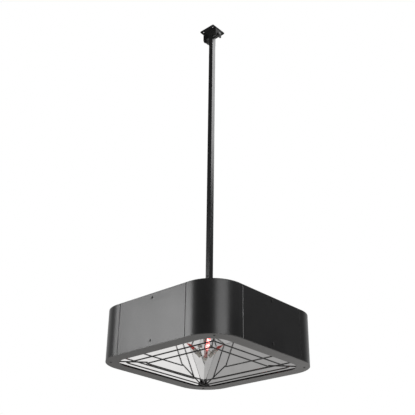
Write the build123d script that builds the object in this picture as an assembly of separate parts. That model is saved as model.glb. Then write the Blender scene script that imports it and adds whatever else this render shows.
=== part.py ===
from build123d import *
import math
import os

# Ceiling-hung infrared patio heater, all sizes in millimetres.
# The origin is the centre of the ceiling plate's top face and +Z points up.
# X and Y run along the sides of the square housing.

# Housing, measured from its underside
housing_side = 560.0
housing_height = 180.0
housing_corner = 112.0
sheet = 1.5
rim_sheet = 2.0
rim_width = 47.5
seam_flange = 15.0
seam_gap = 2.0

# Pole
tube_side = 20.0
tube_wall = 1.5
stub_length = 159.0
lower_length = 298.0
middle_length = 400.0
upper_length = 343.0
plug_reach = 30.0
joint_screw_drop = 13.0

# Ceiling bracket and swivel
plate_side = 75.0
plate_thickness = 4.0
plate_hole_offset = 26.0
plate_hole_radius = 3.5
bracket_sheet = 3.0
bracket_width = 35.0
bracket_span = 71.0
bracket_drop = 41.0
pivot_drop = 27.0
pivot_radius = 4.0
pivot_play = 0.05
side_play = 0.3
head_reach = 47.0

# Reflector
mirror_sheet = 0.8
mirror_base_z = 5.0
mirror_shadow_gap = 4.5
mirror_slope = 56.8
space_above_mirror = 60.0

# Guard
wire_radius = 2.0
outer_wire_inset = 36.5
inner_wire_inset = 84.4
diagonal_end = 10.5

# Lamp, lying on the diagonal from the near corner to the far corner
lamp_below_top = 35.0
lamp_radius = 6.0
lamp_wall = 1.2
lamp_cap_radius = 7.5
lamp_cap_length = 38.0
lamp_end_room = 28.0

# Heights that follow from the sizes above
pivot_z = -pivot_drop
upper_top = pivot_z - head_reach
middle_top = upper_top - upper_length
lower_top = middle_top - middle_length
stub_top = lower_top - lower_length
housing_top = stub_top - stub_length
housing_bottom = housing_top - housing_height
flange_thickness = 4.0

half_side = housing_side / 2
opening_half = half_side - rim_width
opening_corner = housing_corner - rim_width
slope = math.radians(mirror_slope)
seam_at = half_side - housing_corner - seam_flange
mirror_base_half = opening_half - mirror_shadow_gap
mirror_top_z = housing_height - space_above_mirror
mirror_height = mirror_top_z - mirror_base_z
mirror_top_half = mirror_base_half - mirror_height / math.tan(slope)
lamp_z = mirror_top_z - lamp_below_top
lamp_half_length = mirror_top_half * math.sqrt(2) - lamp_end_room
wall_low = rim_sheet
wall_high = housing_height - sheet

os.makedirs("parts", exist_ok=True)


def save(name, shape):
    """Writes one piece, or one group of alike pieces, as its own file."""
    solids = shape.solids() if hasattr(shape, "solids") else ShapeList(shape)
    export_step(Compound(children=list(solids)), f"parts/{name}.step")


def block(x_low, x_high, y_low, y_high, z_low, z_high):
    """A plain box between two corners."""
    centre = ((x_low + x_high) / 2, (y_low + y_high) / 2, (z_low + z_high) / 2)
    return Pos(*centre) * Box(x_high - x_low, y_high - y_low, z_high - z_low)


def rounded_slab(side, corner, z_low, z_high):
    """A square slab with rounded upright corners."""
    outline = RectangleRounded(side, side, corner)
    return Pos(0, 0, z_low) * extrude(outline, z_high - z_low)


def upright(radius, z_low, z_high, x=0.0, y=0.0):
    """A round bar standing between two heights."""
    return Pos(x, y, (z_low + z_high) / 2) * Cylinder(radius, z_high - z_low)


def bar_between(start, end, radius):
    """A round bar with square ends between two points."""
    start = Vector(*start)
    along = Vector(*end) - start
    plane = Plane(origin=start, z_dir=along.normalized())
    return extrude(plane * Circle(radius), along.length)


def in_housing(shape):
    """Moves a piece drawn from the housing's underside to its place."""
    return Pos(0, 0, housing_bottom) * shape


def four_turns(shape):
    """The same piece on all four sides."""
    return [Rot(0, 0, 90 * turn) * shape for turn in range(4)]


# Ceiling plate with four bolt holes
def ceiling_plate():
    plate = rounded_slab(plate_side, 4.0, -plate_thickness, 0.0)
    for x in (-plate_hole_offset, plate_hole_offset):
        for y in (-plate_hole_offset, plate_hole_offset):
            plate -= upright(plate_hole_radius, -plate_thickness - 1, 1.0, x, y)
    return plate


# Inverted U whose two lugs carry the swivel bolt, which runs along Y
def swivel_bracket():
    top = -plate_thickness
    half_width = bracket_width / 2
    half_span = bracket_span / 2
    body = block(-half_width, half_width, -half_span, half_span, -bracket_drop, top)
    inner = half_span - bracket_sheet
    body -= block(-half_width - 1, half_width + 1, -inner, inner,
                  -bracket_drop - 1, top - bracket_sheet)
    low_corners = body.edges().filter_by(Axis.Y)
    low_corners = low_corners.filter_by_position(Axis.Z, -bracket_drop - 0.1, -bracket_drop + 0.1)
    body = fillet(low_corners, 6.0)
    bolt_hole = Pos(0, 0, pivot_z) * Rot(90, 0, 0) * Cylinder(pivot_radius, bracket_span + 2)
    return body - bolt_hole


def hexagon_along_y(across_flats, y_low, y_high, z):
    """A hexagonal bolt head or nut on an axis along Y."""
    face = RegularPolygon(across_flats / 2, 6, major_radius=False)
    solid = extrude(face, y_high - y_low)
    return Pos(0, y_high, z) * Rot(90, 0, 0) * solid


# Swivel bolt with its head outside the -Y lug
def pivot_bolt():
    half_span = bracket_span / 2
    washer = 1.6
    shank_low = -half_span - washer
    shank_high = half_span + washer + 9.0
    shank = Pos(0, (shank_low + shank_high) / 2, pivot_z) * Rot(90, 0, 0)
    shank = shank * Cylinder(pivot_radius, shank_high - shank_low)
    head = hexagon_along_y(13.0, shank_low - 5.3, shank_low, pivot_z)
    return shank + head


def washer_along_y(inner, outer, y_low, y_high, z):
    """A flat ring on an axis along Y."""
    ring = Cylinder(outer, y_high - y_low) - Cylinder(inner, y_high - y_low + 1)
    return Pos(0, (y_low + y_high) / 2, z) * Rot(90, 0, 0) * ring


def pivot_washers():
    half_span = bracket_span / 2
    near = washer_along_y(pivot_radius, 8.0, -half_span - 1.6, -half_span, pivot_z)
    far = washer_along_y(pivot_radius, 8.0, half_span, half_span + 1.6, pivot_z)
    return [near, far]


def pivot_nut():
    low = bracket_span / 2 + 1.6
    nut = hexagon_along_y(13.0, low, low + 7.0, pivot_z)
    bore = Pos(0, low + 3.5, pivot_z) * Rot(90, 0, 0) * Cylinder(pivot_radius, 9.0)
    return nut - bore


# Head of the pole: a square block that turns on the bolt, with a tenon below
def swivel_head():
    half = tube_side / 2
    body = block(-half, half, -half, half, upper_top, pivot_z)
    crown = Pos(0, 0, pivot_z) * Rot(90, 0, 0) * Cylinder(half, tube_side)
    tenon_half = half - tube_wall
    tenon = block(-tenon_half, tenon_half, -tenon_half, tenon_half,
                  upper_top - plug_reach, upper_top)
    tenon = chamfer(tenon.edges().filter_by(Axis.Z), 1.0)
    bore_radius = pivot_radius + pivot_play
    bore = Pos(0, 0, pivot_z) * Rot(90, 0, 0) * Cylinder(bore_radius, tube_side + 2)
    return body + crown + tenon - bore - screw_shank_hole(upper_top)


# Two plain bushes that keep the pole centred between the lugs
def swivel_bushes():
    half = tube_side / 2
    reach = bracket_span / 2 - bracket_sheet - side_play
    bore = pivot_radius + 0.3
    near = washer_along_y(bore, 8.0, -reach, -half, pivot_z)
    far = washer_along_y(bore, 8.0, half, reach, pivot_z)
    return [near, far]


# A joint screw enters the -X face a little below each joint line
screw_shank = 2.0
screw_length = 9.0


def screw_shank_hole(joint_z):
    half = tube_side / 2
    z = joint_z - joint_screw_drop
    length = screw_length + 2
    hole = Pos(-half + screw_length - length / 2, 0, z) * Rot(0, 90, 0)
    return hole * Cylinder(screw_shank, length)


def joint_screws():
    half = tube_side / 2
    screws = []
    for joint_z in (upper_top, middle_top, lower_top, stub_top):
        z = joint_z - joint_screw_drop
        shank = Pos(-half + screw_length / 2, 0, z) * Rot(0, 90, 0)
        shank = shank * Cylinder(screw_shank, screw_length)
        head = Pos(-half - 1.1, 0, z) * Rot(0, 90, 0) * Cylinder(3.8, 2.2)
        socket = Pos(-half - 2.2, 0, z) * Rot(0, 90, 0)
        socket = socket * extrude(RegularPolygon(1.3, 6), 1.5)
        screws.append(shank + head - socket)
    return screws


# Square tube standing between two heights, drilled for the screw at its top
def pole_tube(z_low, z_high):
    outline = RectangleRounded(tube_side, tube_side, 2.0)
    bore_side = tube_side - 2 * tube_wall
    outline -= RectangleRounded(bore_side, bore_side, 0.5)
    tube = Pos(0, 0, z_low) * extrude(outline, z_high - z_low)
    return tube - screw_shank_hole(z_high)


# Square plugs that join one tube to the next
def joint_plugs():
    half = tube_side / 2 - tube_wall
    plugs = []
    for joint_z in (middle_top, lower_top, stub_top):
        plug = block(-half, half, -half, half, joint_z - plug_reach, joint_z + plug_reach)
        plug = chamfer(plug.edges().filter_by(Axis.Z), 1.0)
        plugs.append(plug - screw_shank_hole(joint_z))
    return plugs


# Flange under the pole and the doubler plate below the top cover
flange_side = 90.0
cover_drill = (wall_high - 10, housing_height + 10)
flange_bolt_offset = 32.0
flange_bolt_radius = 3.0
doubler_thickness = 3.0


def bolt_spots(offset):
    return [(x, y) for x in (-offset, offset) for y in (-offset, offset)]


def drilled(shape, spots, radius, z_low, z_high):
    for x, y in spots:
        shape -= upright(radius, z_low, z_high, x, y)
    return shape


def pole_flange():
    plate = rounded_slab(flange_side, 8.0, housing_height, housing_height + flange_thickness)
    plate = drilled(plate, bolt_spots(flange_bolt_offset), flange_bolt_radius, *cover_drill)
    return in_housing(plate)


def doubler_plate():
    plate = rounded_slab(flange_side, 8.0, wall_high - doubler_thickness, wall_high)
    plate = drilled(plate, bolt_spots(flange_bolt_offset), flange_bolt_radius, *cover_drill)
    return in_housing(plate)


def flange_bolts():
    low = wall_high - doubler_thickness
    high = housing_height + flange_thickness
    bolts = []
    for x, y in bolt_spots(flange_bolt_offset):
        shank = upright(flange_bolt_radius, low - 7.0, high, x, y)
        head = extrude(RegularPolygon(5.0, 6, major_radius=False), 4.0)
        bolts.append(in_housing(shank + Pos(x, y, high) * head))
    return bolts


def flange_nuts():
    low = wall_high - doubler_thickness
    nuts = []
    for x, y in bolt_spots(flange_bolt_offset):
        nut = extrude(RegularPolygon(5.0, 6, major_radius=False), 5.0)
        nut = Pos(x, y, low - 5.0) * nut - upright(flange_bolt_radius, low - 6, low + 1, x, y)
        nuts.append(in_housing(nut))
    return nuts


# Top cover with two banks of vent slots and the hole of the cable gland
gland_x = 50.0
gland_y = 112.0
gland_radius = 8.0
stud_x = mirror_top_half - 22.7
stud_y = 60.0
vent_length = 70.0
vent_edge = 105.0
vent_pitch = 13.0


def top_cover():
    cover = rounded_slab(housing_side, housing_corner, wall_high, housing_height)
    cover = drilled(cover, bolt_spots(flange_bolt_offset), flange_bolt_radius, *cover_drill)
    cover -= upright(gland_radius, *cover_drill, gland_x, gland_y)
    for x in (-stud_x, stud_x):
        for y in (-stud_y, stud_y):
            cover -= upright(2.5, *cover_drill, x, y)
    for side in (-1, 1):
        for step in range(5):
            slot = SlotOverall(vent_length, 5.0, rotation=90)
            slot = extrude(slot, 4 * sheet)
            x = side * (half_side - vent_edge + vent_pitch * step)
            cover -= Pos(x, 0, wall_high - sheet) * slot
    return in_housing(cover)


# Corner covers: a quarter bend with a short flat flange on each side
def corner_cover():
    outer = rounded_slab(housing_side, housing_corner, wall_low, wall_high)
    inner = rounded_slab(housing_side - 2 * sheet, housing_corner - sheet, wall_low, wall_high)
    edge = seam_at + seam_gap / 2
    keep = block(edge, half_side, edge, half_side, wall_low, wall_high)
    return in_housing((outer - inner) & keep)


# Flat side panels, each held by one screw near its top and one near its bottom
panel_screw_heights = (20.0, housing_height - 15.0)
panel_screw_radius = 2.5


def side_panel():
    edge = seam_at - seam_gap / 2
    panel = block(half_side - sheet, half_side, -edge, edge, wall_low, wall_high)
    for z in panel_screw_heights:
        hole = Pos(half_side, 0, z) * Rot(0, 90, 0) * Cylinder(panel_screw_radius, 10)
        panel -= hole
    return in_housing(panel)


def panel_screws():
    screws = []
    for z in panel_screw_heights:
        shank_low = half_side - 2 * sheet - 6.0
        shank = bar_between((shank_low, 0, z), (half_side, 0, z), panel_screw_radius)
        head = bar_between((half_side, 0, z), (half_side + 2.2, 0, z), 4.4)
        rim = head.faces().sort_by(Axis.X)[-1].edges()
        screw = in_housing(shank + chamfer(rim, 0.9))
        screws.extend(four_turns(screw))
    return screws


# Upright strips behind the eight seams
def seam_strips():
    face = half_side - sheet
    strips = []
    for side in (-1, 1):
        centre = side * seam_at
        strip = block(face - sheet, face, centre - 13, centre + 13, wall_low, wall_high)
        strips.extend(four_turns(in_housing(strip)))
    return strips


# Angle rails behind each panel, one on the rim and one under the top cover
rail_leg = 25.0
rail_rise = 30.0
rail_half = seam_at - 14.0


def rails(upper):
    face = half_side - sheet
    if upper:
        upright_leg = block(face - sheet, face, -rail_half, rail_half,
                            wall_high - rail_rise, wall_high)
        flat_leg = block(face - rail_leg, face - sheet, -rail_half, rail_half,
                         wall_high - sheet, wall_high)
        screw_z = panel_screw_heights[1]
    else:
        upright_leg = block(face - sheet, face, -rail_half, rail_half,
                            wall_low, wall_low + rail_rise)
        flat_leg = block(face - rail_leg, face - sheet, -rail_half, rail_half,
                         wall_low, wall_low + sheet)
        screw_z = panel_screw_heights[0]
    rail = upright_leg + flat_leg
    rail -= Pos(face, 0, screw_z) * Rot(0, 90, 0) * Cylinder(panel_screw_radius, 10)
    return four_turns(in_housing(rail))


# Flat rim around the opening, with a screw at each corner
rim_screw_offset = half_side - 46.0


def bottom_rim():
    rim = rounded_slab(housing_side, housing_corner, 0.0, rim_sheet)
    rim -= rounded_slab(2 * opening_half, opening_corner, -1.0, rim_sheet + 1)
    rim = drilled(rim, bolt_spots(rim_screw_offset), 2.0, -1, rim_sheet + 1)
    return in_housing(rim)


def corner_blocks():
    spot = rim_screw_offset
    piece = Pos(spot, spot, rim_sheet + 5) * Rot(0, 0, 45) * Box(14, 18, 10)
    piece -= upright(2.0, rim_sheet - 1, rim_sheet + 11, spot, spot)
    return four_turns(in_housing(piece))


def rim_screws():
    spot = rim_screw_offset
    shank = upright(2.0, 0, rim_sheet + 9, spot, spot)
    head = upright(3.6, -1.4, 0, spot, spot)
    return four_turns(in_housing(shank + head))


# Four sloping mirrors: each is a flat trapezoid with mitred ends
def reflector_panel():
    run = mirror_sheet / math.sin(slope)
    low_half = mirror_base_half
    high_half = mirror_top_half
    section = Polyline((low_half, mirror_base_z), (high_half, mirror_top_z),
                       (high_half + run, mirror_top_z), (low_half + run, mirror_base_z),
                       close=True)
    profile = Plane.XZ * make_face(section)
    length = 2 * low_half + 40
    panel = Pos(0, length / 2, 0) * extrude(profile, length)
    wedge = make_face(Polyline((0, 0), (low_half + 40, low_half + 40),
                               (low_half + 40, -low_half - 40), close=True))
    return in_housing(panel & extrude(wedge, 200))


def reflector_top():
    run = mirror_sheet / math.sin(slope)
    side = 2 * (mirror_top_half + run)
    plate = Pos(0, 0, mirror_top_z + 0.5) * Box(side, side, 1.0)
    plate = drilled(plate, lead_spots(), 1.8, mirror_top_z - 1, mirror_top_z + 2)
    for x in (-stud_x, stud_x):
        for y in (-stud_y, stud_y):
            plate -= upright(2.5, mirror_top_z - 1, mirror_top_z + 2, x, y)
    return in_housing(plate)


# Four studs hang the reflector and the heat shield from the top cover
shield_rise = 20.0
shield_z = mirror_top_z + shield_rise
shield_inset = 7.7


def reflector_studs():
    studs = []
    for x in (-stud_x, stud_x):
        for y in (-stud_y, stud_y):
            post = upright(5.0, mirror_top_z + 1.0, shield_z, x, y)
            post += upright(4.0, shield_z, wall_high, x, y)
            post += upright(2.5, mirror_top_z, mirror_top_z + 1.0, x, y)
            post += upright(2.5, wall_high, housing_height, x, y)
            studs.append(in_housing(post))
    return studs


def stud_screws():
    screws = []
    for x in (-stud_x, stud_x):
        for y in (-stud_y, stud_y):
            low = upright(4.0, mirror_top_z - 1.8, mirror_top_z, x, y)
            high = upright(4.5, housing_height, housing_height + 2.2, x, y)
            screws.append(in_housing(low))
            screws.append(in_housing(high))
    return screws


def heat_shield():
    side = 2 * (mirror_top_half - shield_inset)
    plate = Pos(0, 0, shield_z + 0.4) * Box(side, side, 0.8)
    for x in (-stud_x, stud_x):
        for y in (-stud_y, stud_y):
            plate -= upright(4.0, shield_z - 1, shield_z + 2, x, y)
    return in_housing(plate)


# Guard: an outer and an inner square of wire, tied by four diagonals
def wire_square(inset):
    half = opening_half - inset
    side = bar_between((half, -half - 5, 0), (half, half + 5, 0), wire_radius)
    reach = half + 20
    wedge = make_face(Polyline((0, 0), (reach, reach), (reach, -reach), close=True))
    side = side & (Pos(0, 0, -10) * extrude(wedge, 20))
    return four_turns(in_housing(side))


def guard_diagonals():
    inner = opening_half - inner_wire_inset - 2.0
    outer = opening_half - diagonal_end
    z = 2 * wire_radius
    wire = bar_between((inner, inner, z), (outer, outer, z), wire_radius)
    return four_turns(in_housing(wire))


# The lamp runs along the diagonal of the opening
def on_diagonal(shape):
    return in_housing(Pos(0, 0, lamp_z) * Rot(0, 0, 45) * shape)


def along_x(radius, x_low, x_high):
    return Pos((x_low + x_high) / 2, 0, 0) * Rot(0, 90, 0) * Cylinder(radius, x_high - x_low)


def lamp_tube():
    glass = along_x(lamp_radius, -lamp_half_length, lamp_half_length)
    glass -= along_x(lamp_radius - lamp_wall, -lamp_half_length - 1, lamp_half_length + 1)
    return on_diagonal(glass)


def lamp_filament():
    return on_diagonal(along_x(1.6, -lamp_half_length, lamp_half_length))


def lamp_caps():
    start = lamp_half_length
    end = start + lamp_cap_length
    cap = along_x(lamp_cap_radius, start, end)
    cap -= along_x(2.4, end - 8, end + 1)
    return [on_diagonal(cap), on_diagonal(Rot(0, 0, 180) * cap)]


# Clips that hang the lamp's caps from the reflector's top plate
def lamp_clips():
    rise = mirror_top_z - lamp_z
    start = lamp_half_length + 8
    ring = along_x(lamp_cap_radius + 1.4, start, start + 10)
    ring -= along_x(lamp_cap_radius, start - 1, start + 11)
    stem = block(start, start + 1.4, -5, 5, lamp_cap_radius + 0.7, rise)
    foot = block(start - 18, start, -5, 5, rise - 1.4, rise)
    clip = ring + stem + foot
    return [on_diagonal(clip), on_diagonal(Rot(0, 0, 180) * clip)]


# Two leads rise from the caps and run to the control box
lead_radius = 1.6
lead_offset = mirror_top_half - 4.9
lead_z = shield_z + 15.0


def lead_spots():
    return [(lead_offset, lead_offset), (-lead_offset, -lead_offset)]


def lamp_leads():
    leads = []
    low = lamp_z + lamp_cap_radius
    for side, end_y in ((1, 92.0), (-1, 72.0)):
        spot = side * lead_offset
        path = Polyline((spot, spot, low), (spot, spot, lead_z),
                        (side * (box_half + 45), end_y, lead_z), (side * box_half, end_y, lead_z))
        start = Plane(origin=(spot, spot, low), z_dir=(0, 0, 1))
        lead = sweep(start * Circle(lead_radius), path, transition=Transition.RIGHT)
        leads.append(in_housing(lead))
    return leads


# Control box under the top cover, with its board and terminals
box_low = shield_z + 6.0
box_y_low = 54.0
box_y_high = 138.0
box_half = 75.0
box_sheet = 1.2


def control_box():
    shell = block(-box_half, box_half, box_y_low, box_y_high, box_low, wall_high)
    wall = box_sheet
    shell -= block(-box_half + wall, box_half - wall, box_y_low + wall, box_y_high - wall,
                   box_low + wall, wall_high + 1)
    return in_housing(shell)


def control_board():
    low = box_low + box_sheet + 5.0
    x_low, x_high = 9 - box_half, box_half - 51
    y_low, y_high = box_y_low + 10, box_y_high - 10
    board = block(x_low, x_high, y_low, y_high, low, low + 1.6)
    feet = [(x, y) for x in (x_low + 4, x_high - 4) for y in (y_low + 4, y_high - 4)]
    for x, y in feet:
        board += upright(2.5, box_low + box_sheet, low, x, y)
    return in_housing(board)


def board_parts():
    low = box_low + box_sheet + 6.6
    x, y = -box_half, box_y_low
    relay = block(x + 17, x + 36, y + 46, y + 62, low, low + 15)
    second_relay = block(x + 17, x + 36, y + 22, y + 38, low, low + 15)
    transformer = block(x + 45, x + 69, y + 44, y + 68, low, low + 14)
    capacitor = upright(5.0, low, low + 14, x + 57, y + 26)
    fuse = block(x + 77, x + 93, y + 20, y + 26, low, low + 8)
    return [in_housing(piece) for piece in (relay, second_relay, transformer, capacitor, fuse)]


def terminal_block():
    low = box_low + box_sheet
    x, y = box_half, box_y_low
    body = block(x - 41, x - 23, y + 12, y + 50, low, low + 14)
    for step in range(4):
        body -= upright(2.0, low + 6, low + 15, x - 32, y + 17 + 9.4 * step)
    return in_housing(body)


# Cable gland in the top cover, beside the pole
def cable_gland():
    body = upright(gland_radius, wall_high, housing_height, gland_x, gland_y)
    collar = Pos(gland_x, gland_y, housing_height)
    body += collar * extrude(RegularPolygon(10.5, 6, major_radius=False), 5.0)
    body += upright(9.0, housing_height + 5, housing_height + 16, gland_x, gland_y)
    body -= upright(4.0, wall_high - 1, housing_height + 17, gland_x, gland_y)
    return in_housing(body)


save("ceiling_plate", ceiling_plate())
save("swivel_bracket", swivel_bracket())
save("pivot_bolt", pivot_bolt())
save("pivot_washers", Compound(children=pivot_washers()))
save("pivot_nut", pivot_nut())
save("swivel_head", swivel_head())
save("swivel_bushes", Compound(children=swivel_bushes()))
save("upper_tube", pole_tube(middle_top, upper_top))
save("middle_tube", pole_tube(lower_top, middle_top))
save("lower_tube", pole_tube(stub_top, lower_top))
save("stub_tube", pole_tube(housing_top + flange_thickness, stub_top))
save("joint_plugs", Compound(children=joint_plugs()))
save("joint_screws", Compound(children=joint_screws()))
save("pole_flange", pole_flange())
save("doubler_plate", doubler_plate())
save("flange_bolts", Compound(children=flange_bolts()))
save("flange_nuts", Compound(children=flange_nuts()))
save("top_cover", top_cover())
for name, cover in zip(("far", "left", "near", "right"), four_turns(corner_cover())):
    save(f"corner_cover_{name}", cover)
for name, panel in zip(("x_high", "y_high", "x_low", "y_low"), four_turns(side_panel())):
    save(f"side_panel_{name}", panel)
save("panel_screws", Compound(children=panel_screws()))
save("seam_strips", Compound(children=seam_strips()))
save("lower_rails", Compound(children=rails(False)))
save("upper_rails", Compound(children=rails(True)))
save("bottom_rim", bottom_rim())
save("corner_blocks", Compound(children=corner_blocks()))
save("rim_screws", Compound(children=rim_screws()))
for name, panel in zip(("x_high", "y_high", "x_low", "y_low"), four_turns(reflector_panel())):
    save(f"reflector_{name}", panel)
save("reflector_top", reflector_top())
save("reflector_studs", Compound(children=reflector_studs()))
save("stud_screws", Compound(children=stud_screws()))
save("heat_shield", heat_shield())
save("guard_outer_wires", Compound(children=wire_square(outer_wire_inset)))
save("guard_inner_wires", Compound(children=wire_square(inner_wire_inset)))
save("guard_diagonals", Compound(children=guard_diagonals()))
save("lamp_tube", lamp_tube())
save("lamp_filament", lamp_filament())
save("lamp_caps", Compound(children=lamp_caps()))
save("lamp_clips", Compound(children=lamp_clips()))
save("lamp_leads", Compound(children=lamp_leads()))
save("control_box", control_box())
save("control_board", control_board())
save("board_parts", Compound(children=board_parts()))
save("terminal_block", terminal_block())
save("cable_gland", cable_gland())
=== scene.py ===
import bpy, bmesh, math
from mathutils import Vector, Matrix


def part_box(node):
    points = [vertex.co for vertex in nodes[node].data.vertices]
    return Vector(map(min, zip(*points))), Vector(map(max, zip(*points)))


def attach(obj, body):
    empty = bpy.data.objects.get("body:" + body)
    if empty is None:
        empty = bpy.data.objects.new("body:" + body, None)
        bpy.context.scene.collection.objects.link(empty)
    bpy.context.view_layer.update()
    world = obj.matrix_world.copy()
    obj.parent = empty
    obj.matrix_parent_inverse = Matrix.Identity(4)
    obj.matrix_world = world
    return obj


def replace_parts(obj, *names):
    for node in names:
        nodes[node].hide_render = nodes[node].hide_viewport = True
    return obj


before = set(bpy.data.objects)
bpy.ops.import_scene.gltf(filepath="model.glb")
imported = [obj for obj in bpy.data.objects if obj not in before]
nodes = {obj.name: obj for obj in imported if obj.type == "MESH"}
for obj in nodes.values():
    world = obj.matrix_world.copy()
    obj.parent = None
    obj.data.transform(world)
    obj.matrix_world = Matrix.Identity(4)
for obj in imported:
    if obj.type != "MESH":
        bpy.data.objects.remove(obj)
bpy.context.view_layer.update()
mm = 0.001
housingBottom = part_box("bottom_rim")[0].z
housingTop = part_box("top_cover")[1].z
print("frame loaded,", len(nodes), "pieces, housing from", round(housingBottom, 3), "to", round(housingTop, 3))


# Camera, taken to look at a 415 x 415 picture
camera = {
    "turn": 47.812, "tilt": 27.271, "roll": -0.821,
    "focal": 752.24 / 415 * 36,
    "shiftSide": -9.946, "back": -2532.8, "down": -699.3,   # mm, from the centre of the rim
    "sensor": 36, "nearest": 0.05, "farthest": 100,
}


def placeCamera(spec):
    data = bpy.data.cameras.new("viewCamera")
    data.sensor_width = spec["sensor"]
    data.lens = spec["focal"]
    data.clip_start, data.clip_end = spec["nearest"], spec["farthest"]
    cam = bpy.data.objects.new("viewCamera", data)
    bpy.context.scene.collection.objects.link(cam)
    tilt, roll = math.radians(spec["tilt"]), math.radians(spec["roll"])
    ahead = Vector((0, math.cos(tilt), math.sin(tilt)))
    up = Vector((0, -math.sin(tilt), math.cos(tilt)))
    side = Vector((1, 0, 0))
    right = side * math.cos(roll) - up * math.sin(roll)
    top = side * math.sin(roll) + up * math.cos(roll)
    turned = Matrix((right, top, -ahead)).transposed().to_4x4()
    stand = Matrix.Translation(Vector((spec["shiftSide"], spec["back"], spec["down"])) * mm)
    yaw = Matrix.Rotation(-math.radians(spec["turn"]), 4, "Z")
    cam.matrix_world = Matrix.Translation((0, 0, housingBottom)) @ yaw @ stand @ turned
    bpy.context.scene.camera = cam


placeCamera(camera)
print("camera placed")


# Small helpers for node trees
def startMaterial(name):
    made = bpy.data.materials.new(name)
    made.use_nodes = True
    tree = made.node_tree
    return made, tree, tree.nodes["Principled BSDF"]


def feed(tree, value, socket):
    # A plain number or colour is set on the socket, anything else is linked to it
    if isinstance(value, tuple):
        socket.default_value = (*value, 1)
    elif isinstance(value, (int, float)):
        socket.default_value = value
    else:
        tree.links.new(value, socket)


def grain(tree, place, scale, detail, stretch=None):
    # Noise in the object's own metres, stretched along an axis if asked
    source = place.outputs["Object"]
    if stretch:
        squeeze = tree.nodes.new("ShaderNodeMapping")
        squeeze.inputs["Scale"].default_value = stretch
        feed(tree, source, squeeze.inputs["Vector"])
        source = squeeze.outputs["Vector"]
    noise = tree.nodes.new("ShaderNodeTexNoise")
    noise.inputs["Scale"].default_value = scale
    noise.inputs["Detail"].default_value = detail
    feed(tree, source, noise.inputs["Vector"])
    return noise.outputs["Fac"]


def spread(tree, value, low, high, fromLow=0.3, fromHigh=0.7):
    # Takes a value from one range to another, and stops at its ends
    node = tree.nodes.new("ShaderNodeMapRange")
    node.inputs["From Min"].default_value = fromLow
    node.inputs["From Max"].default_value = fromHigh
    node.inputs["To Min"].default_value = low
    node.inputs["To Max"].default_value = high
    feed(tree, value, node.inputs["Value"])
    return node.outputs["Result"]


def combine(tree, operation, first, second):
    node = tree.nodes.new("ShaderNodeMath")
    node.operation = operation
    feed(tree, first, node.inputs[0])
    feed(tree, second, node.inputs[1])
    return node.outputs[0]


def blendColours(tree, factor, first, second):
    node = tree.nodes.new("ShaderNodeMix")
    node.data_type = "RGBA"
    feed(tree, factor, node.inputs[0])
    feed(tree, first, node.inputs[6])
    feed(tree, second, node.inputs[7])
    return node.outputs[2]


def blendValues(tree, factor, first, second):
    node = tree.nodes.new("ShaderNodeMix")
    feed(tree, factor, node.inputs[0])
    feed(tree, first, node.inputs[2])
    feed(tree, second, node.inputs[3])
    return node.outputs[0]


def alongDirection(tree, place, towards):
    # How far a point lies along a direction
    along = tree.nodes.new("ShaderNodeVectorMath")
    along.operation = "DOT_PRODUCT"
    along.inputs[1].default_value = towards
    feed(tree, place, along.inputs[0])
    return along.outputs["Value"]


def edgeMask(tree, rounding):
    # Says how near a point is to a hard edge, and gives the eased normal there
    eased = tree.nodes.new("ShaderNodeBevel")
    eased.samples = 4
    eased.inputs["Radius"].default_value = rounding
    plain = tree.nodes.new("ShaderNodeNewGeometry")
    same = tree.nodes.new("ShaderNodeVectorMath")
    same.operation = "DOT_PRODUCT"
    feed(tree, eased.outputs["Normal"], same.inputs[0])
    feed(tree, plain.outputs["Normal"], same.inputs[1])
    mask = spread(tree, same.outputs["Value"], 1.0, 0.0, 0.75, 0.995)
    return mask, eased.outputs["Normal"]


def relief(tree, height, strength, distance, base=None):
    bump = tree.nodes.new("ShaderNodeBump")
    bump.inputs["Strength"].default_value = strength
    bump.inputs["Distance"].default_value = distance
    feed(tree, height, bump.inputs["Height"])
    if base is not None:
        feed(tree, base, bump.inputs["Normal"])
    return bump.outputs["Normal"]


# Powder coat: fine orange peel, faint clouding, thin paint on the edges
coatGrain = {
    "cloudScale": 9.0, "peelScale": 1400.0, "dustScale": 160.0, "dustShare": 0.35,
    "bump": 0.25, "peelDepth": 0.0002, "wearLeast": 0.1, "wear": 0.6,
}


def powderCoat(name, look):
    look = {**coatGrain, **look}
    made, tree, shader = startMaterial(name)
    place = tree.nodes.new("ShaderNodeTexCoord")
    clouds = grain(tree, place, look["cloudScale"], 3.0)
    peel = grain(tree, place, look["peelScale"], 2.0)
    dust = grain(tree, place, look["dustScale"], 5.0)
    eased = None
    body = blendColours(tree, spread(tree, clouds, 0.0, 1.0), look["colour"], look["cloud"])
    body = blendColours(tree, spread(tree, dust, 0.0, look["dustShare"], 0.45, 0.9), body, look["dust"])
    if look["rounding"]:   # with no rounding, the edges stay plain
        mask, eased = edgeMask(tree, look["rounding"])
        worn = spread(tree, dust, look["wearLeast"], look["wear"], 0.35, 0.65)
        body = blendColours(tree, combine(tree, "MULTIPLY", mask, worn), body, look["edge"])
    feed(tree, body, shader.inputs["Base Color"])
    rough = look["roughness"]
    feed(tree, spread(tree, clouds, rough - 0.015, rough + 0.02), shader.inputs["Roughness"])
    feed(tree, relief(tree, peel, look["bump"], look["peelDepth"], eased), shader.inputs["Normal"])
    shader.inputs["Specular IOR Level"].default_value = look["specular"]
    return made


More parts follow.
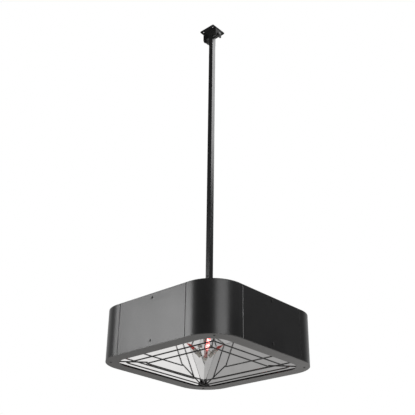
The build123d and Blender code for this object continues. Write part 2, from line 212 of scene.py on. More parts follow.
housingCoat = {
    "colour": (0.0115, 0.0115, 0.012), "cloud": (0.015, 0.015, 0.0155), "dust": (0.03, 0.03, 0.03),
    "edge": (0.12, 0.12, 0.12), "roughness": 0.31, "specular": 0.5, "rounding": 0.0009,
}
# The rim's coat is lighter than the housing's: painted light, standing in for the light its underside gets
# from the floor below
rimCoatPaintedLight = {
    "colour": (0.056, 0.054, 0.0535), "cloud": (0.063, 0.061, 0.060), "dust": (0.085, 0.082, 0.079),
    "edge": (0.15, 0.15, 0.145), "roughness": 0.36, "specular": 0.5, "rounding": 0.0009,
}
poleCoat = {
    "colour": (0.009, 0.009, 0.0095), "cloud": (0.012, 0.012, 0.0125), "dust": (0.025, 0.025, 0.025),
    "roughness": 0.28, "specular": 0.5, "rounding": 0, "bump": 0.08,
}
bracketCoat = {
    "colour": (0.010, 0.010, 0.010), "cloud": (0.014, 0.014, 0.014), "dust": (0.03, 0.03, 0.03),
    "edge": (0.035, 0.035, 0.035), "roughness": 0.6, "specular": 0.25, "rounding": 0.0006,
}
screwBlack = {
    "colour": (0.012, 0.012, 0.013), "cloud": (0.02, 0.02, 0.02), "dust": (0.05, 0.05, 0.05),
    "edge": (0.22, 0.22, 0.22), "roughness": 0.33, "specular": 0.6, "rounding": 0.0003,
    "peelScale": 2600.0, "bump": 0.15, "wear": 0.9,
}
wireCoat = {
    "colour": (0.012, 0.012, 0.012), "cloud": (0.018, 0.018, 0.018), "dust": (0.04, 0.04, 0.04),
    "edge": (0.05, 0.05, 0.05), "roughness": 0.38, "specular": 0.5, "rounding": 0.0002,
    "peelScale": 2200.0, "bump": 0.3,
}


# Bare metals: zinc plating, clip spring steel, galvanized inner sheet
metalGrain = {
    "scuffScale": 500.0, "stretch": None, "rounding": 0.0004, "bump": 0.2, "scuffDepth": 0.0001,
    "stainShare": 0.5, "edgeShare": 0.7,
}


def bareMetal(name, look):
    look = {**metalGrain, **look}
    made, tree, shader = startMaterial(name)
    place = tree.nodes.new("ShaderNodeTexCoord")
    patches = grain(tree, place, look["patchScale"], 2.0)
    scuffs = grain(tree, place, look["scuffScale"], 5.0, look["stretch"])
    mask, eased = edgeMask(tree, look["rounding"])
    body = blendColours(tree, spread(tree, patches, 0.0, 1.0), look["colour"], look["patch"])
    body = blendColours(tree, spread(tree, scuffs, 0.0, look["stainShare"], 0.5, 0.8), body, look["stain"])
    body = blendColours(tree, spread(tree, mask, 0.0, look["edgeShare"], 0.0, 1.0), body, look["edge"])
    feed(tree, body, shader.inputs["Base Color"])
    shader.inputs["Metallic"].default_value = 1.0
    rough = look["roughness"]
    feed(tree, spread(tree, scuffs, rough - 0.06, rough + 0.1), shader.inputs["Roughness"])
    feed(tree, relief(tree, scuffs, look["bump"], look["scuffDepth"], eased), shader.inputs["Normal"])
    return made


zincPlating = {
    "colour": (0.52, 0.53, 0.55), "patch": (0.60, 0.60, 0.60), "stain": (0.38, 0.38, 0.37),
    "edge": (0.75, 0.75, 0.75), "roughness": 0.34, "patchScale": 120.0,
}
darkZinc = {
    "colour": (0.05, 0.05, 0.053), "patch": (0.075, 0.075, 0.075), "stain": (0.035, 0.035, 0.035),
    "edge": (0.14, 0.14, 0.14), "roughness": 0.5, "patchScale": 120.0,
}
galvanizedSheet = {
    "colour": (0.42, 0.43, 0.45), "patch": (0.56, 0.57, 0.58), "stain": (0.33, 0.33, 0.33),
    "edge": (0.62, 0.62, 0.62), "roughness": 0.42, "patchScale": 45.0, "scuffScale": 260.0,
}
springSteel = {
    "colour": (0.50, 0.49, 0.47), "patch": (0.44, 0.43, 0.42), "stain": (0.30, 0.26, 0.22),
    "edge": (0.70, 0.69, 0.67), "roughness": 0.28, "patchScale": 90.0, "stretch": (1, 1, 0.2),
}

# Polished mirror sheet: fine rolling lines, very slight waves, a little dulling
mirrorLook = {
    "colour": (0.90, 0.90, 0.905), "dull": (0.80, 0.80, 0.80), "dullShare": 0.6, "roughness": 0.05,
    "waveScale": 7.0, "waveBump": 0.35, "waveHeight": 0.0006, "smearScale": 28.0,
    "lineScale": 300.0, "lineStretch": (0.04, 0.04, 1.0), "lineBump": 0.04, "lineHeight": 0.00005,
}


def mirrorSheet(name, look):
    made, tree, shader = startMaterial(name)
    place = tree.nodes.new("ShaderNodeTexCoord")
    waves = grain(tree, place, look["waveScale"], 1.0)
    lines = grain(tree, place, look["lineScale"], 3.0, look["lineStretch"])
    smears = grain(tree, place, look["smearScale"], 5.0)
    dulled = spread(tree, smears, 0.0, look["dullShare"], 0.45, 0.8)
    feed(tree, blendColours(tree, dulled, look["colour"], look["dull"]), shader.inputs["Base Color"])
    shader.inputs["Metallic"].default_value = 1.0
    rough = look["roughness"]
    feed(tree, spread(tree, smears, rough - 0.02, rough + 0.04), shader.inputs["Roughness"])
    soft = relief(tree, waves, look["waveBump"], look["waveHeight"])
    feed(tree, relief(tree, lines, look["lineBump"], look["lineHeight"], soft), shader.inputs["Normal"])
    return made


# Glowing coil: bright in its middle, dull towards the caps, with hotter and cooler stretches
coilGlow = {
    "metal": (0.25, 0.12, 0.08), "colour": (1.0, 0.20, 0.13), "bright": (1.0, 0.62, 0.50),
    "beadScale": 260.0, "coolest": 2.5, "hottest": 9.0, "bump": 0.2, "bumpDepth": 0.0001,
    "fullTo": 0.070, "darkFrom": 0.112,   # metres from the middle of the lamp
}


def alongLamp(tree, place):
    # 1 over the heated middle of the lamp, 0 near its caps
    along = alongDirection(tree, place.outputs["Object"], (math.sqrt(0.5), math.sqrt(0.5), 0))
    away = combine(tree, "ABSOLUTE", along, 0.0)
    return spread(tree, away, 1.0, 0.0, coilGlow["fullTo"], coilGlow["darkFrom"])


def glowingWire(name, look):
    made, tree, shader = startMaterial(name)
    place = tree.nodes.new("ShaderNodeTexCoord")
    beads = grain(tree, place, look["beadScale"], 2.0)
    warm = blendColours(tree, spread(tree, beads, 0.0, 1.0), look["colour"], look["bright"])
    feed(tree, look["metal"], shader.inputs["Base Color"])
    feed(tree, spread(tree, beads, 0.45, 0.65), shader.inputs["Roughness"])
    feed(tree, relief(tree, beads, look["bump"], look["bumpDepth"]), shader.inputs["Normal"])
    feed(tree, warm, shader.inputs["Emission Color"])
    beadHeat = spread(tree, beads, look["coolest"], look["hottest"])
    heat = combine(tree, "MULTIPLY", alongLamp(tree, place), beadHeat)
    feed(tree, heat, shader.inputs["Emission Strength"])
    return made


# Ruby glass of the lamp tube, with a faint glow of its own
rubyLook = {
    "colour": (0.80, 0.16, 0.14), "pale": (0.86, 0.34, 0.30), "roughness": 0.06,
    "streakScale": 120.0, "streakStretch": (1.0, 1.0, 3.0), "bump": 0.1, "bumpDepth": 0.0002,
    "clearness": 0.85, "refraction": 1.46, "spotScale": 42.0,
    "glow": (0.82, 0.10, 0.13), "hot": (1.0, 0.55, 0.56), "coolest": 0.18, "hottest": 1.25,
}


def rubyGlass(name, look):
    made, tree, shader = startMaterial(name)
    place = tree.nodes.new("ShaderNodeTexCoord")
    streaks = grain(tree, place, look["streakScale"], 4.0, look["streakStretch"])
    body = blendColours(tree, spread(tree, streaks, 0.0, 1.0), look["colour"], look["pale"])
    feed(tree, body, shader.inputs["Base Color"])
    rough = look["roughness"]
    feed(tree, spread(tree, streaks, rough, rough + 0.1), shader.inputs["Roughness"])
    feed(tree, relief(tree, streaks, look["bump"], look["bumpDepth"]), shader.inputs["Normal"])
    shader.inputs["Transmission Weight"].default_value = look["clearness"]
    shader.inputs["IOR"].default_value = look["refraction"]
    spots = grain(tree, place, look["spotScale"], 1.0)
    warm = blendColours(tree, spread(tree, spots, 0.0, 1.0, 0.45, 0.62), look["glow"], look["hot"])
    feed(tree, warm, shader.inputs["Emission Color"])
    spotHeat = spread(tree, spots, look["coolest"], look["hottest"], 0.42, 0.62)
    heat = combine(tree, "MULTIPLY", alongLamp(tree, place), spotHeat)
    feed(tree, heat, shader.inputs["Emission Strength"])
    return made


# Moulded or fired pieces: nylon, ceramic, woven sleeve, board laminate
mouldedGrain = {
    "cloudScale": 60.0, "poreScale": 1500.0, "stretch": None, "rounding": 0.0005, "bump": 0.2,
    "poreDepth": 0.0002, "poreShare": 0.4, "edgeShare": 0.5,
}


def mouldedPiece(name, look):
    look = {**mouldedGrain, **look}
    made, tree, shader = startMaterial(name)
    place = tree.nodes.new("ShaderNodeTexCoord")
    cloud = grain(tree, place, look["cloudScale"], 3.0)
    pores = grain(tree, place, look["poreScale"], 4.0, look["stretch"])
    mask, eased = edgeMask(tree, look["rounding"])
    body = blendColours(tree, spread(tree, cloud, 0.0, 1.0), look["colour"], look["cloud"])
    body = blendColours(tree, spread(tree, pores, 0.0, look["poreShare"], 0.55, 0.85), body, look["pore"])
    body = blendColours(tree, spread(tree, mask, 0.0, look["edgeShare"], 0.0, 1.0), body, look["edge"])
    feed(tree, body, shader.inputs["Base Color"])
    rough = look["roughness"]
    feed(tree, spread(tree, cloud, rough - 0.05, rough + 0.06), shader.inputs["Roughness"])
    feed(tree, relief(tree, pores, look["bump"], look["poreDepth"], eased), shader.inputs["Normal"])
    return made


blackNylon = {
    "colour": (0.018, 0.018, 0.018), "cloud": (0.024, 0.024, 0.024), "pore": (0.03, 0.03, 0.03),
    "edge": (0.06, 0.06, 0.06), "roughness": 0.5,
}
firedCeramic = {
    "colour": (0.78, 0.75, 0.68), "cloud": (0.72, 0.69, 0.62), "pore": (0.55, 0.50, 0.43),
    "edge": (0.85, 0.83, 0.78), "roughness": 0.55, "bump": 0.35,
}
wovenSleeve = {
    "colour": (0.70, 0.66, 0.56), "cloud": (0.62, 0.58, 0.48), "pore": (0.40, 0.37, 0.30),
    "edge": (0.74, 0.70, 0.62), "roughness": 0.7, "bump": 0.6, "stretch": (1, 1, 0.4),
}
boardLaminate = {
    "colour": (0.02, 0.11, 0.045), "cloud": (0.025, 0.14, 0.055), "pore": (0.30, 0.22, 0.08),
    "edge": (0.20, 0.22, 0.12), "roughness": 0.4, "poreScale": 320.0, "stretch": (1, 6, 1),
}

finishes = {
    "bracket_paint": powderCoat("bracketPaint", bracketCoat),
    "pole_paint": powderCoat("polePaint", poleCoat),
    "housing_paint": powderCoat("housingPaint", housingCoat),
    "rim_paint": powderCoat("rimPaintPaintedLight", rimCoatPaintedLight),
    "black_screw": powderCoat("blackScrews", screwBlack),
    "guard_wire": powderCoat("guardWireCoat", wireCoat),
    "zinc_steel": bareMetal("zincPlating", zincPlating),
    "inner_steel": bareMetal("galvanizedSheet", galvanizedSheet),
    "clip_steel": bareMetal("springSteel", springSteel),
    "mirror_sheet": mirrorSheet("mirrorSheet", mirrorLook),
    "ruby_glass": rubyGlass("rubyGlass", rubyLook),
    "hot_filament": glowingWire("glowingCoil", coilGlow),
    "black_nylon": mouldedPiece("blackNylon", blackNylon),
    "white_ceramic": mouldedPiece("firedCeramic", firedCeramic),
    "lead_sleeve": mouldedPiece("wovenSleeve", wovenSleeve),
    "circuit_board": mouldedPiece("boardLaminate", boardLaminate),
}

slotOfNode = {
    "bracket_paint": ["ceiling_plate", "swivel_bracket"],
    "zinc_steel": ["pivot_bolt", "pivot_washers", "pivot_nut", "joint_plugs", "doubler_plate",
                   "flange_bolts", "flange_nuts", "reflector_studs", "stud_screws"],
    "pole_paint": ["swivel_head", "upper_tube", "middle_tube", "lower_tube", "stub_tube", "pole_flange"],
    "black_nylon": ["swivel_bushes", "board_parts", "cable_gland"],
    "black_screw": ["joint_screws", "panel_screws", "rim_screws"],
    "housing_paint": ["top_cover", "corner_cover_far", "corner_cover_left", "corner_cover_near",
                      "corner_cover_right", "side_panel_x_high", "side_panel_y_high",
                      "side_panel_x_low", "side_panel_y_low"],
    "inner_steel": ["seam_strips", "lower_rails", "upper_rails", "corner_blocks", "heat_shield",
                    "control_box"],
    "rim_paint": ["bottom_rim"],
    "mirror_sheet": ["reflector_x_high", "reflector_y_high", "reflector_x_low", "reflector_y_low",
                     "reflector_top"],
    "guard_wire": ["guard_outer_wires", "guard_inner_wires", "guard_diagonals"],
    "ruby_glass": ["lamp_tube"],
    "hot_filament": ["lamp_filament"],
    "white_ceramic": ["lamp_caps", "terminal_block"],
    "clip_steel": ["lamp_clips"],
    "lead_sleeve": ["lamp_leads"],
    "circuit_board": ["control_board"],
}
for slotName, members in slotOfNode.items():
    for member in members:
        for holder in nodes[member].material_slots:
            holder.material = finishes[slotName]
pivotFinish = bareMetal("darkZincPlating", darkZinc)
for member in ("pivot_bolt", "pivot_washers", "pivot_nut"):
    for holder in nodes[member].material_slots:
        holder.material = pivotFinish
print("finishes given to", sum(len(m) for m in slotOfNode.values()), "pieces")


# New pieces are built in millimetres and brought to metres at the end
def newPiece(name, mesh, slotName, body="heater", smooth=True):
    piece = bpy.data.objects.new(name, mesh)
    bpy.context.scene.collection.objects.link(piece)
    mesh.materials.append(finishes[slotName])
    if smooth:
        for face in mesh.polygons:
            face.use_smooth = True
    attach(piece, body)
    return piece


def meshOf(name, shape, place=None):
    shape.transform(Matrix.Scale(mm, 4))
    if place is not None:
        shape.transform(place)
    bmesh.ops.recalc_face_normals(shape, faces=shape.faces)
    mesh = bpy.data.meshes.new(name)
    shape.to_mesh(mesh)
    shape.free()
    return mesh


def quarterTurn(quarter):
    return Matrix.Rotation(math.radians(90 * quarter), 3, "Z")


def joinRings(shape, low, high):
    count = len(low)
    for step in range(count):
        after = (step + 1) % count
        shape.faces.new((low[step], low[after], high[after], high[step]))


def turnedProfile(shape, profile, axisAt, outward, segments=24, flute=None):
    # Turns a row of (radius, height) points about an axis that points outward
    outward = outward.normalized()
    side = outward.orthogonal().normalized()
    other = outward.cross(side)
    rings = []
    for radius, height in profile:
        ring = []
        for step in range(segments):
            angle = 2 * math.pi * step / segments
            reach = radius * (flute(step) if flute else 1.0)
            around = (side * math.cos(angle) + other * math.sin(angle)) * reach
            ring.append(shape.verts.new(axisAt + outward * height + around))
        rings.append(ring)
    for low, high in zip(rings, rings[1:]):
        joinRings(shape, low, high)
    return rings


def tubeAlong(shape, route, radius, sides, closed=False):
    # A round wire that follows a row of points, with a radius for all or for each of them
    rings, count = [], len(route)
    for index, spot in enumerate(route):
        before = route[index - 1] if index or closed else spot
        after = route[(index + 1) % count] if closed or index < count - 1 else spot
        ahead = (after - before).normalized()
        across = ahead.cross(Vector((0, 0, 1)))
        if across.length < 0.05:   # the wire runs straight up here
            across = ahead.cross(Vector((0, 1, 0)))
        across.normalize()
        over = across.cross(ahead)
        reach = radius[index] if isinstance(radius, list) else radius
        ring = []
        for step in range(sides):
            angle = 2 * math.pi * step / sides
            around = (across * math.cos(angle) + over * math.sin(angle)) * reach
            ring.append(shape.verts.new(spot + around))
        rings.append(ring)
    for low, high in zip(rings, rings[1:]):
        joinRings(shape, low, high)
    if closed:
        joinRings(shape, rings[-1], rings[0])
    else:
        shape.faces.new(rings[0][::-1])
        shape.faces.new(rings[-1])


# Stage and lights
stage = {
    "floorAt": -4.3, "floorReach": 70.0, "floorSides": 96, "floorColour": (0.80, 0.80, 0.79),
    "floorLift": 0.42, "floorRough": 0.9, "floorGloss": 0.1,
}
studio = {
    "plainLight": 0.42,        # what matt surfaces get from the room
    "roomBack": 0.8, "roomFront": 0.08,   # what glossy surfaces see behind and before the object
    "roomFrom": 0.25, "roomTo": 0.88,
    "floorBright": 0.86, "floorDim": 0.37, "floorGlow": (1.0, 0.985, 0.97), "floorFade": 3.5,
}
viewTurn = math.radians(camera["turn"])


def seenInGloss(tree, ray):
    return combine(tree, "MAXIMUM", ray.outputs["Is Glossy Ray"], ray.outputs["Is Transmission Ray"])


def buildWorld(spec):
    world = bpy.data.worlds.new("plainStudio")
    bpy.context.scene.world = world
    world.use_nodes = True
    tree = world.node_tree
    backdrop = tree.nodes["Background"]
    backdrop.inputs["Color"].default_value = (1, 1, 1, 1)
    ray = tree.nodes.new("ShaderNodeLightPath")
    place = tree.nodes.new("ShaderNodeTexCoord")
    away = Vector((math.sin(viewTurn), math.cos(viewTurn), 0))
    height = alongDirection(tree, place.outputs["Generated"], away)
    gloss = spread(tree, height, spec["roomFront"], spec["roomBack"], spec["roomFrom"], spec["roomTo"])
    room = blendValues(tree, seenInGloss(tree, ray), spec["plainLight"], gloss)
    whole = blendValues(tree, ray.outputs["Is Camera Ray"], room, 1.0)
    feed(tree, whole, backdrop.inputs["Strength"])


def buildFloor(spec, light):
    shape = bmesh.new()
    bmesh.ops.create_circle(shape, cap_ends=True, segments=spec["floorSides"], radius=spec["floorReach"])
    mesh = bpy.data.meshes.new("floor")
    shape.to_mesh(mesh)
    shape.free()
    floor = bpy.data.objects.new("floor", mesh)
    floor.location = (0, 0, spec["floorAt"])
    bpy.context.scene.collection.objects.link(floor)
    made, tree, shader = startMaterial("paleFloor")
    feed(tree, spec["floorColour"], shader.inputs["Base Color"])
    shader.inputs["Roughness"].default_value = spec["floorRough"]
    shader.inputs["Specular IOR Level"].default_value = spec["floorGloss"]
    ray = tree.nodes.new("ShaderNodeLightPath")
    place = tree.nodes.new("ShaderNodeTexCoord")
    right = Vector((math.cos(viewTurn), -math.sin(viewTurn), 0))
    beside = alongDirection(tree, place.outputs["Object"], right)
    fade = light["floorFade"]
    glow = tree.nodes.new("ShaderNodeEmission")
    feed(tree, light["floorGlow"], glow.inputs["Color"])
    level = spread(tree, beside, light["floorDim"], light["floorBright"], -fade, fade)
    feed(tree, level, glow.inputs["Strength"])
    # Seen straight on, the floor is lifted to a pale tone and still keeps the shadow
    lift = tree.nodes.new("ShaderNodeEmission")
    feed(tree, spec["floorColour"], lift.inputs["Color"])
    lifting = combine(tree, "MULTIPLY", ray.outputs["Is Camera Ray"], spec["floorLift"])
    feed(tree, lifting, lift.inputs["Strength"])
    lifted = tree.nodes.new("ShaderNodeAddShader")
    feed(tree, shader.outputs[0], lifted.inputs[0])
    feed(tree, lift.outputs[0], lifted.inputs[1])
    either = tree.nodes.new("ShaderNodeMixShader")
    feed(tree, seenInGloss(tree, ray), either.inputs[0])
    feed(tree, lifted.outputs[0], either.inputs[1])
    feed(tree, glow.outputs[0], either.inputs[2])
    feed(tree, either.outputs[0], tree.nodes["Material Output"].inputs["Surface"])
    mesh.materials.append(made)


def softBox(name, spec):
    data = bpy.data.lights.new(name, "AREA")
    data.shape = "RECTANGLE"
    data.size, data.size_y = spec["size"]
    data.energy = spec["power"]
    lamp = bpy.data.objects.new(name, data)
    bpy.context.scene.collection.objects.link(lamp)
    lamp.location = spec["at"]
    lamp.rotation_mode = "QUATERNION"
    lamp.rotation_quaternion = (Vector(spec["at"]) - Vector(spec["aim"])).to_track_quat("Z", "Y")
    lamp.visible_camera = False


softBoxes = {
    "leftSoftBox": {
        "at": (-1.85, 1.30, -0.78), "aim": (-0.28, 0.0, -1.37), "size": (0.95, 0.75), "power": 17,
    },
    "rightSoftBox": {
        "at": (1.45, -1.3, 1.35), "aim": (0.0, 0.0, -0.3), "size": (1.3, 1.6), "power": 34,
    },
    "cornerBox": {
        "at": (-0.9, -2.3, -0.65), "aim": (-0.25, -0.25, -1.37), "size": (1.55, 1.0), "power": 19,
    },
}
buildWorld(studio)
buildFloor(stage, studio)
for lampName, lampSpec in softBoxes.items():
    softBox(lampName, lampSpec)
bpy.context.scene.view_settings.view_transform = "Standard"
print("stage and", len(softBoxes), "soft boxes ready")

# Lamp coil: a tight helix over the heated length, straight tails into the caps
coil = {
    "turns": 118, "radius": 1.55, "wire": 0.34, "heated": 152.0, "sides": 5, "perTurn": 12,
    "tailSteps": 8, "capDepth": 4.5, "tailPast": 0.4,
}


def lampAxis():
    # The middle of the lamp in metres, and the half length of its tube in mm
    low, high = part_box("lamp_tube")
    return (low + high) / 2, 0.5 * (high.x - low.x) * math.sqrt(2) / mm


def layAlongLamp(middle):
    # Takes what was built along X to the lamp, which lies across the housing's corners
    return Matrix.Translation(middle) @ Matrix.Rotation(math.radians(45), 4, "Z")


def buildCoil(spec):
    middle, tubeHalf = lampAxis()
    half, heated, perTurn = tubeHalf - spec["capDepth"], spec["heated"], spec["perTurn"]
    tail = [(half - heated) * step / spec["tailSteps"] for step in range(spec["tailSteps"] + 1)]
    route = [Vector((run - half, 0, 0)) for run in tail]
    count = spec["turns"] * perTurn
    for step in range(count + 1):
        angle = 2 * math.pi * step / perTurn
        reach = spec["radius"] * min(1.0, step / perTurn, (count - step) / perTurn)
        along = 2 * heated * step / count - heated
        route.append(Vector((along, reach * math.cos(angle), reach * math.sin(angle))))
    route += [Vector((heated + run + spec["tailPast"], 0, 0)) for run in tail]
    shape = bmesh.new()
    tubeAlong(shape, route, spec["wire"], spec["sides"])
    mesh = meshOf("lampCoil", shape, layAlongLamp(middle))
    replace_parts(newPiece("lampCoil", mesh, "hot_filament"), "lamp_filament")


# Small star-shaped supports that hold the coil in the tube
coilSupport = {
    "count": 7, "reaches": (1.9, 3.0, 4.5), "ring": 1.95, "ringSteps": 12, "thick": 0.25, "arms": 3,
    "sides": 5,
}


def buildCoilSupports(spec):
    shape = bmesh.new()
    for index in range(spec["count"]):
        along = Vector((2 * coil["heated"] * (index + 0.5) / spec["count"] - coil["heated"], 0, 0))
        for arm in range(spec["arms"]):
            angle = 2 * math.pi * arm / spec["arms"]
            outward = Vector((0, math.cos(angle), math.sin(angle)))
            arms = [along + outward * reach for reach in spec["reaches"]]
            tubeAlong(shape, arms, spec["thick"], spec["sides"])
        ring = []
        for step in range(spec["ringSteps"] + 1):
            angle = 2 * math.pi * step / spec["ringSteps"]
            ring.append(along + Vector((0, math.cos(angle), math.sin(angle))) * spec["ring"])
        tubeAlong(shape, ring, spec["thick"], spec["sides"])
    mesh = meshOf("coilSupports", shape, layAlongLamp(lampAxis()[0]))
    newPiece("coilSupports", mesh, "hot_filament")


def hexagonReach(angle, least):
    # How far a hexagon reaches in a direction, with flats at 1 and corners cut off
    return 1.0 / max(math.cos((angle % (math.pi / 3)) - math.pi / 6), least)


# Pan-head screws with a cross recess or a hexagon socket
screwHeads = {
    "panel": {"radius": 4.4, "height": 2.2, "recess": "cross"},
    "joint": {"radius": 3.8, "height": 2.2, "recess": "hexagon"},
    "rim": {"radius": 3.6, "height": 1.4, "recess": "cross"},
}
headSteps = 24
screwsApart = 20   # mm, at least, between two joint screws
# Both in shares of the head's radius and height
headProfile = ((1.0, 0.0), (1.0, 0.55), (0.95, 0.82), (0.86, 1.0), (0.62, 1.0))
recessSize = {"armLong": 0.46, "armShort": 0.20, "socket": 0.40, "floor": 0.35}


def recessOutline(kind, radius):
    outline = []
    for step in range(headSteps):
        angle = 2 * math.pi * step / headSteps
        if kind == "cross":
            reach = radius * recessSize["armLong" if step % 6 in (0, 1, 5) else "armShort"]
        else:
            reach = radius * recessSize["socket"] * hexagonReach(angle, 0.8)
        outline.append((math.cos(angle) * reach, math.sin(angle) * reach))
    return outline


def screwHead(shape, face, outward, head):
    outward = outward.normalized()
    radius, height = head["radius"], head["height"]
    profile = [(radius * wide, height * high) for wide, high in headProfile]
    rings = turnedProfile(shape, profile, face, outward, headSteps)
    # The recess is an inner outline at the crown that drops to a floor
    side = outward.orthogonal().normalized()
    if abs(outward.z) < 0.5:
        side = Vector((0, 0, 1))
    other = outward.cross(side)
    start = rings[-1][0].co - face
    twist = math.atan2(start.dot(other), start.dot(side))
    crown, floor = [], []
    for a, b in recessOutline(head["recess"], radius):
        u = a * math.cos(twist) - b * math.sin(twist)
        v = a * math.sin(twist) + b * math.cos(twist)
        spot = face + side * u + other * v
        crown.append(shape.verts.new(spot + outward * height))
        floor.append(shape.verts.new(spot + outward * height * recessSize["floor"]))
    if (rings[-1][1].co - rings[-1][0].co).dot(crown[1].co - crown[0].co) <= 0:
        crown = [crown[0]] + crown[:0:-1]   # goes round the same way as the crown ring
        floor = [floor[0]] + floor[:0:-1]
    for step in range(headSteps):
        after = (step + 1) % headSteps
        shape.faces.new((rings[-1][step], rings[-1][after], crown[after], crown[step]))
        shape.faces.new((crown[step], crown[after], floor[after], floor[step]))
    shape.faces.new(floor)
    shape.faces.new(rings[0][::-1])


def replaceScrews(name, shape, node):
    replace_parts(newPiece(name, meshOf(name, shape), "black_screw", smooth=False), node)


def buildPanelScrews(head):
    low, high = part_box("panel_screws")
    wall = high.x / mm - head["height"]
    shape = bmesh.new()
    for level in (low.z / mm + head["radius"], high.z / mm - head["radius"]):
        for quarter in range(4):
            outward = quarterTurn(quarter) @ Vector((1, 0, 0))
            screwHead(shape, outward * wall + Vector((0, 0, level)), outward, head)
    replaceScrews("panelScrewHeads", shape, "panel_screws")


def buildJointScrews(head):
    # The screws lie one above another, so their points are grouped by height
    groups = []
    for vert in nodes["joint_screws"].data.vertices:
        level = vert.co.z / mm
        near = [group for group in groups if abs(level - group[0]) < screwsApart]
        if near:
            near[0].append(level)
        else:
            groups.append([level])
    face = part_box("joint_screws")[0].x / mm + head["height"]
    shape = bmesh.new()
    for group in groups:
        middle = (min(group) + max(group)) / 2
        screwHead(shape, Vector((face, 0, middle)), Vector((-1, 0, 0)), head)
    replaceScrews("jointScrewHeads", shape, "joint_screws")


def buildRimScrews(head):
    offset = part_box("rim_screws")[1].x / mm - head["radius"]
    shape = bmesh.new()
    for x in (-offset, offset):
        for y in (-offset, offset):
            screwHead(shape, Vector((x, y, housingBottom / mm)), Vector((0, 0, -1)), head)
    replaceScrews("rimScrewHeads", shape, "rim_screws")


# Weld beads: rippled fillets where the stub meets its flange and where the bracket meets its plate
weld = {
    "poleSize": 1.9, "bracketSize": 1.4, "ripple": 0.22, "pitch": 2.4, "step": 0.8, "sides": 8,
    "roundCorner": 1.30, "bracketHalf": 12,
}


def weldBead(shape, route, size, spec, closed):
    spots = []
    points = route + [route[0]] if closed else route
    for first, second in zip(points, points[1:]):
        steps = max(2, int((second - first).length / spec["step"]))
        spots += [first.lerp(second, step / steps) for step in range(steps)]
    if not closed:
        spots.append(points[-1])
    ripples = [math.sin(2 * math.pi * index * spec["step"] / spec["pitch"]) for index in range(len(spots))]
    tubeAlong(shape, spots, [size + spec["ripple"] * ripple for ripple in ripples], spec["sides"], closed)


def buildWelds(spec):
    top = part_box("pole_flange")[1].z / mm
    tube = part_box("stub_tube")[1].x / mm
    ring = []
    for angle in range(0, 360, 15):
        turn = math.radians(angle)
        square = max(abs(math.cos(turn)), abs(math.sin(turn)))
        reach = min(tube / square, tube * spec["roundCorner"])
        ring.append(Vector((math.cos(turn), math.sin(turn), 0)) * reach + Vector((0, 0, top)))
    shape = bmesh.new()
    weldBead(shape, ring, spec["poleSize"], spec, True)
    newPiece("poleWeld", meshOf("poleWeld", shape), "pole_paint")
    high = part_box("swivel_bracket")[1] / mm
    half = spec["bracketHalf"]
    shape = bmesh.new()
    for side in (-1, 1):
        seam = [Vector((x, side * high.y, high.z)) for x in (-half, half)]
        weldBead(shape, seam, spec["bracketSize"], spec, False)
    newPiece("bracketWelds", meshOf("bracketWelds", shape), "bracket_paint", "ceiling_bracket")


# Cable gland: hexagon collar below, fluted dome nut with an open mouth above
gland = {
    "collarFlats": 21.0, "collarHeight": 5.0, "domeFoot": 8.0, "domeRadius": 9.0, "domeHeight": 11.0,
    "mouth": 4.0, "below": -1.0, "flutes": 12, "fluteReach": 0.955, "segments": 48,
}


def buildGland(spec):
    low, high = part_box("cable_gland")
    centre = (low + high) / 2
    base = Vector((centre.x, centre.y, housingTop)) / mm
    up = Vector((0, 0, 1))
    flats, start, segments = spec["collarFlats"] / 2, spec["collarHeight"], spec["segments"]
    foot, dome, mouth, below = spec["domeFoot"], spec["domeRadius"], spec["mouth"], spec["below"]
    end, fluteEvery = start + spec["domeHeight"], segments // spec["flutes"]
    collarProfile = [(mouth, below), (flats - 0.2, below), (flats - 0.2, 0.3), (flats, 0.6),
                     (flats, start - 0.6), (flats - 0.6, start), (foot, start + 0.02)]
    domeProfile = [(foot, start), (dome, start + 0.6), (dome, start + 6.5), (dome * 0.93, start + 8.5),
                   (dome * 0.78, start + 10.2), (dome * 0.6, end), (mouth + 0.6, end),
                   (mouth, end - 0.8), (mouth, below)]
    shape = bmesh.new()
    turnedProfile(shape, collarProfile, base, up, segments,
                  lambda step: hexagonReach(2 * math.pi * step / segments, 0.86))
    turnedProfile(shape, domeProfile, base, up, segments,
                  lambda step: 1.0 if step % fluteEvery else spec["fluteReach"])
    bmesh.ops.remove_doubles(shape, verts=shape.verts, dist=0.001)
    piece = newPiece("glandNut", meshOf("glandNut", shape), "black_nylon", smooth=False)
    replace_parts(piece, "cable_gland")


# Guard wires, coated, with bent corners: two closed squares, and four diagonals between their corners
guard = {
    "solid": 2.0, "coated": 2.3, "raised": 0.3, "bend": 7.0, "bendSteps": 8, "sides": 14,
    "cornerGap": 2.0, "diagonalSteps": 6,
}
corners = ((-1, -1), (-1, 1), (1, -1), (1, 1))


def bentSquare(half, level, bend, steps):
    route = []
    for quarter in range(4):
        for step in range(steps + 1):
            angle = math.radians(90 * step / steps)
            reach = half - bend
            corner = Vector((reach + bend * math.cos(angle), reach + bend * math.sin(angle), level))
            route.append(quarterTurn(quarter) @ corner)
    return route


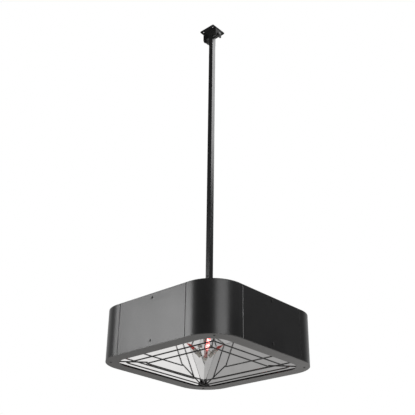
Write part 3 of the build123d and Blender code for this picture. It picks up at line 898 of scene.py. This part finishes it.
def buildGuard(spec):
    for node, name in (("guard_outer_wires", "outerGuardWire"), ("guard_inner_wires", "innerGuardWire")):
        low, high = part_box(node)
        level = (low.z + high.z) / 2 / mm + spec["raised"]
        shape = bmesh.new()
        route = bentSquare(high.x / mm - spec["solid"], level, spec["bend"], spec["bendSteps"])
        tubeAlong(shape, route, spec["coated"], spec["sides"], closed=True)
        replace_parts(newPiece(name, meshOf(name, shape), "guard_wire"), node)
    low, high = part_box("guard_diagonals")
    level = (low.z + high.z) / 2 / mm + spec["raised"]
    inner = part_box("guard_inner_wires")[1].x / mm - spec["solid"] - spec["cornerGap"]
    outer = high.x / mm - spec["solid"] * math.sqrt(0.5)
    steps = spec["diagonalSteps"]
    shape = bmesh.new()
    for sx, sy in corners:
        reaches = [inner + (outer - inner) * step / steps for step in range(steps + 1)]
        route = [Vector((sx * reach, sy * reach, level)) for reach in reaches]
        tubeAlong(shape, route, spec["coated"], spec["sides"])
    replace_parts(newPiece("guardDiagonals", meshOf("guardDiagonals", shape), "guard_wire"), "guard_diagonals")


# Spot welds of the guard: small drops where the wires meet
weldDrop = [(0.3, -2.6), (1.9, -1.9), (2.7, -0.4), (2.3, 1.1), (1.2, 2.2), (0.3, 2.6)]   # radius, height
dropSegments = 12


def buildGuardWelds(wire):
    low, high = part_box("guard_inner_wires")
    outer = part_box("guard_outer_wires")[1].x / mm - wire
    level = (low.z + high.z) / 2 / mm + wire
    shape = bmesh.new()
    for sx, sy in corners:
        for reach in (high.x / mm - wire, outer):
            spot = Vector((sx * reach, sy * reach, level))
            turnedProfile(shape, weldDrop, spot, Vector((sx, sy, 0)), dropSegments)
    newPiece("guardWelds", meshOf("guardWelds", shape), "guard_wire")


# Each panel has one bright rounded edge, at the seam where it laps in
panelEdge = {"radius": 0.45, "inset": 0.5, "sunk": 0.2, "short": 0.5, "sides": 10}


def buildPanelEdges(spec):
    low, high = (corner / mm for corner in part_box("side_panel_x_high"))
    shape = bmesh.new()
    for quarter in range(4):
        foot = quarterTurn(quarter) @ Vector((high.x - spec["sunk"], spec["inset"] - high.y, 0))
        ends = (low.z + spec["short"], high.z - spec["short"])
        tubeAlong(shape, [foot + Vector((0, 0, level)) for level in ends], spec["radius"], spec["sides"])
    newPiece("panelEdges", meshOf("panelEdges", shape), "zinc_steel")


buildGuard(guard)
buildPanelEdges(panelEdge)
buildCoil(coil)
buildCoilSupports(coilSupport)
buildPanelScrews(screwHeads["panel"])
buildJointScrews(screwHeads["joint"])
buildRimScrews(screwHeads["rim"])
buildWelds(weld)
buildGland(gland)
buildGuardWelds(guard["solid"])
print("guard, coil, screws, welds and gland built")
